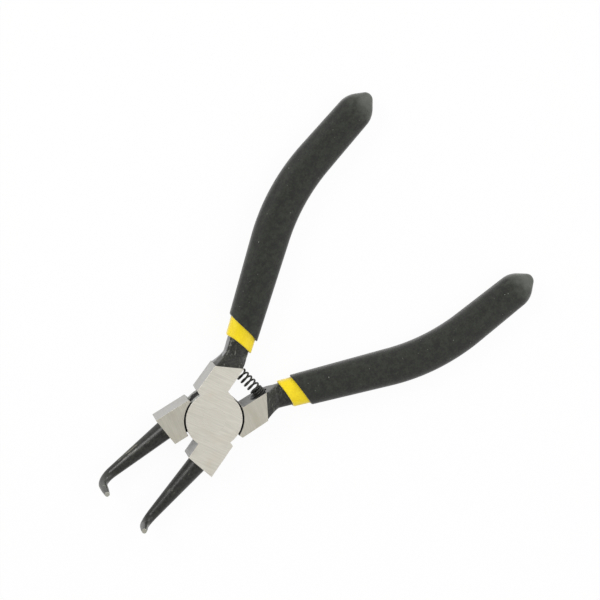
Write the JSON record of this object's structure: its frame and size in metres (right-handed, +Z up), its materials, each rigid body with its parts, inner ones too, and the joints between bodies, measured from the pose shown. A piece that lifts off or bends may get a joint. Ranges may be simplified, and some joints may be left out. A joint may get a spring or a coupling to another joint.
{
  "type": "circlip pliers",
  "caption": "Internal circlip pliers: two forged levers crossed in a lap joint, upturned round tips, a return spring and dipped grips.",
  "frame": {"origin": "on the pivot axis, on the joint's flat underside", "axes": "+X along the open levers' bisector towards the handles, +Y towards the handle of lever_a, +Z up along the pivot axis and the tips"},
  "size_m": [0.1688, 0.1038, 0.0192],
  "materials": {
    "lever_steel": "ground joint faces, black oxide jaws and necks",
    "rivet_steel": "ground flush with the joint",
    "spring_steel": "black oxide wire",
    "yellow_dip": "satin dipped vinyl",
    "black_dip": "matt, finely grained dipped vinyl"
  },
  "bodies": {
    "upper_lever": {"lever_a": "lever_steel", "grip_liner_a": "yellow_dip", "grip_cover_a": "black_dip", "pivot_rivet": "rivet_steel", "return_spring": "spring_steel"},
    "lower_lever": {"lever_b": "lever_steel", "grip_liner_b": "yellow_dip", "grip_cover_b": "black_dip"}
  },
  "joints": [
    {"name": "squeeze", "type": "hinge", "parent": "upper_lever", "child": "lower_lever", "pos_m": [0, 0, 0.0055], "axis": [0, 0, 1], "range_deg": [-20, 21.3], "stiffness_Nm_per_rad": 1.1, "deforming": ["return_spring"]}
  ]
}
